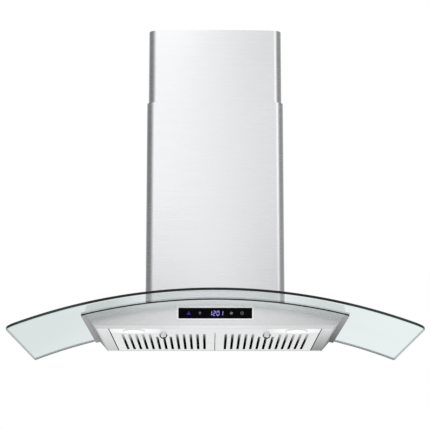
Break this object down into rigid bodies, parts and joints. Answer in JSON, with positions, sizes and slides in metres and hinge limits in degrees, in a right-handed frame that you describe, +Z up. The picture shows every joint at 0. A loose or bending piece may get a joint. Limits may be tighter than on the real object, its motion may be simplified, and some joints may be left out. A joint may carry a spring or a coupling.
{
  "type": "island range hood",
  "caption": "Island range hood with an arched glass canopy, shallow steel body with touch panel, lamps and baffle filters, and a telescoping chimney.",
  "frame": {"origin": "centre of the ceiling plate's top face, on the duct axis", "axes": "+Z up to the ceiling, +X to the right seen from the control panel, which faces -Y"},
  "size_m": [0.9, 0.6, 0.742],
  "materials": {
    "brushed_steel": "vertical brushed grain",
    "body_steel": "brushed along the width",
    "filter_steel": "fine brushed baffles",
    "zinc_steel": "galvanised sheet",
    "canopy_glass": "clear tempered, green edge",
    "gasket_rubber": "matt black foam",
    "black_glass": "glossy black touch glass",
    "bezel_metal": "satin chrome",
    "lamp_metal": "satin chrome ring",
    "lamp_diffuser": "frosted diffuser",
    "wire_steel": "bright wire",
    "screw_steel": "machined heads",
    "fan_plastic": "moulded black",
    "motor_metal": "lacquered dark grey",
    "black_plastic": "moulded black",
    "capacitor_plastic": "off-white can",
    "circuit_board": "green solder mask"
  },
  "bodies": {
    "ceiling_frame": {"ceiling_plate": "zinc_steel", "upper_post_front_left": "zinc_steel", "upper_post_front_right": "zinc_steel", "upper_post_rear_left": "zinc_steel", "upper_post_rear_right": "zinc_steel", "upper_brace_left": "zinc_steel", "upper_brace_right": "zinc_steel", "upper_cover_front": "brushed_steel", "upper_cover_rear": "brushed_steel", "upper_cover_strips": "zinc_steel", "upper_cover_screws": "screw_steel"},
    "hood": {"lower_post_front_left": "zinc_steel", "lower_post_front_right": "zinc_steel", "lower_post_rear_left": "zinc_steel", "lower_post_rear_right": "zinc_steel", "base_frame": "zinc_steel", "glass_canopy": "canopy_glass", "glass_gasket": "gasket_rubber", "front_fascia": "body_steel", "rear_panel": "body_steel", "left_side_panel": "body_steel", "right_side_panel": "body_steel", "top_deck": "zinc_steel", "lamp_panel": "body_steel", "filter_rail": "zinc_steel", "lamp_left_housing": "lamp_metal", "lamp_right_housing": "lamp_metal", "lamp_left_lens": "lamp_diffuser", "lamp_right_lens": "lamp_diffuser", "touch_panel": "black_glass", "control_bezel": "bezel_metal", "control_board": "circuit_board", "control_cover": "black_plastic", "airbox": "zinc_steel", "scroll_casing": "zinc_steel", "inlet_ring_front": "fan_plastic", "inlet_ring_rear": "fan_plastic", "motor": "motor_metal", "motor_bracket": "zinc_steel", "capacitor": "capacitor_plastic", "duct_collar": "fan_plastic", "damper_pin": "screw_steel", "junction_box": "black_plastic", "cable_gland": "black_plastic"},
    "lower_cover": {"lower_cover_front": "brushed_steel", "lower_cover_rear": "brushed_steel", "lower_cover_strips": "zinc_steel", "lower_cover_screws": "screw_steel"},
    "impeller": {"impeller": "fan_plastic", "motor_shaft": "screw_steel"},
    "damper_front": {"damper_flap_front": "fan_plastic"},
    "damper_rear": {"damper_flap_rear": "fan_plastic"},
    "filter_left": {"filter_left_tray": "filter_steel", "filter_left_baffles": "filter_steel", "filter_left_spring": "wire_steel"},
    "latch_left": {"filter_left_latch": "wire_steel"},
    "filter_right": {"filter_right_tray": "filter_steel", "filter_right_baffles": "filter_steel", "filter_right_spring": "wire_steel"},
    "latch_right": {"filter_right_latch": "wire_steel"}
  },
  "joints": [
    {"name": "height_adjust", "type": "slide", "parent": "ceiling_frame", "child": "hood", "axis": [0, 0, 1], "range_m": [-0.22, 0.09]},
    {"name": "lower_cover_lift", "type": "slide", "parent": "hood", "child": "lower_cover", "axis": [0, 0, 1], "range_m": [0, 0.065]},
    {"name": "impeller_spin", "type": "hinge", "parent": "hood", "child": "impeller", "pos_m": [-0.03, 0, -0.545], "axis": [0, 1, 0], "continuous": true},
    {"name": "damper_front_swing", "type": "hinge", "parent": "hood", "child": "damper_front", "pos_m": [0, 0, -0.412], "axis": [-1, 0, 0], "range_deg": [0, 75]},
    {"name": "damper_rear_swing", "type": "hinge", "parent": "hood", "child": "damper_rear", "pos_m": [0, 0, -0.412], "axis": [1, 0, 0], "range_deg": [0, 75]},
    {"name": "filter_left_drop", "type": "hinge", "parent": "hood", "child": "filter_left", "pos_m": [-0.1192, 0.2195, -0.7175], "axis": [1, 0, 0], "range_deg": [0, 60]},
    {"name": "latch_left_pull", "type": "slide", "parent": "filter_left", "child": "latch_left", "axis": [0, 1, 0], "range_m": [0, 0.006], "stiffness_N_per_m": 400, "springref_m": -0.004, "deforming": ["filter_left_spring"]},
    {"name": "filter_right_drop", "type": "hinge", "parent": "hood", "child": "filter_right", "pos_m": [0.1192, 0.2195, -0.7175], "axis": [1, 0, 0], "range_deg": [0, 60]},
    {"name": "latch_right_pull", "type": "slide", "parent": "filter_right", "child": "latch_right", "axis": [0, 1, 0], "range_m": [0, 0.006], "stiffness_N_per_m": 400, "springref_m": -0.004, "deforming": ["filter_right_spring"]}
  ]
}
